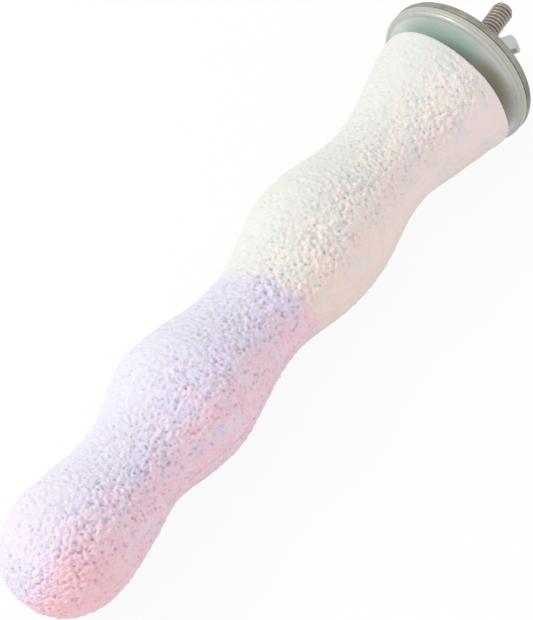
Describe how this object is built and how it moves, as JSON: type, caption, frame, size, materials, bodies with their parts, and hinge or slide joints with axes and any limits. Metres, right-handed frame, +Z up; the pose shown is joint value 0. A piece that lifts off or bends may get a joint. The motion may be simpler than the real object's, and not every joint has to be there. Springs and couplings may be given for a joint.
{
  "type": "bird perch",
  "caption": "Wavy cast mineral bird perch with a flared end, on a threaded stud that clamps to cage wires between cup washers with a wing nut.",
  "frame": {"origin": "on the stud's axis, at the middle of the front washer's clamp side", "axes": "+Y along the stud towards its free end, away from the stick; +X across the stud, level; +Z up"},
  "size_m": [0.0526, 0.2489, 0.048],
  "materials": {
    "cream_mineral": "rough, pitted casting",
    "lilac_mineral": "rough, pitted casting",
    "stud_steel": "plated, rolled thread",
    "anchor_steel": "plated",
    "front_washer_zinc": "zinc plated, satin",
    "rear_washer_zinc": "zinc plated, satin",
    "wing_nut_zinc": "zinc plated casting"
  },
  "bodies": {
    "stick": {"cream_casting": "cream_mineral", "lilac_casting": "lilac_mineral", "stud": "stud_steel", "anchor_nut": "anchor_steel"},
    "front_washer": {"front_washer": "front_washer_zinc"},
    "rear_washer": {"rear_washer": "rear_washer_zinc"},
    "wing_nut": {"wing_nut": "wing_nut_zinc"}
  },
  "joints": [
    {"name": "front_washer_slide", "type": "slide", "parent": "stick", "child": "front_washer", "axis": [0, 1, 0], "range_m": [-0.004, 0]},
    {"name": "rear_washer_slide", "type": "slide", "parent": "stick", "child": "rear_washer", "axis": [0, 1, 0], "range_m": [0, 0.0165]},
    {"name": "wing_nut_turn", "type": "hinge", "parent": "rear_washer", "child": "wing_nut", "pos_m": [0, 0, 0], "axis": [0, 1, 0], "range_deg": [0, 4680]}
  ],
  "couplings": [
    {"joint": "wing_nut_turn", "follows": "rear_washer_slide", "rad_per_m": 4947.4}
  ]
}
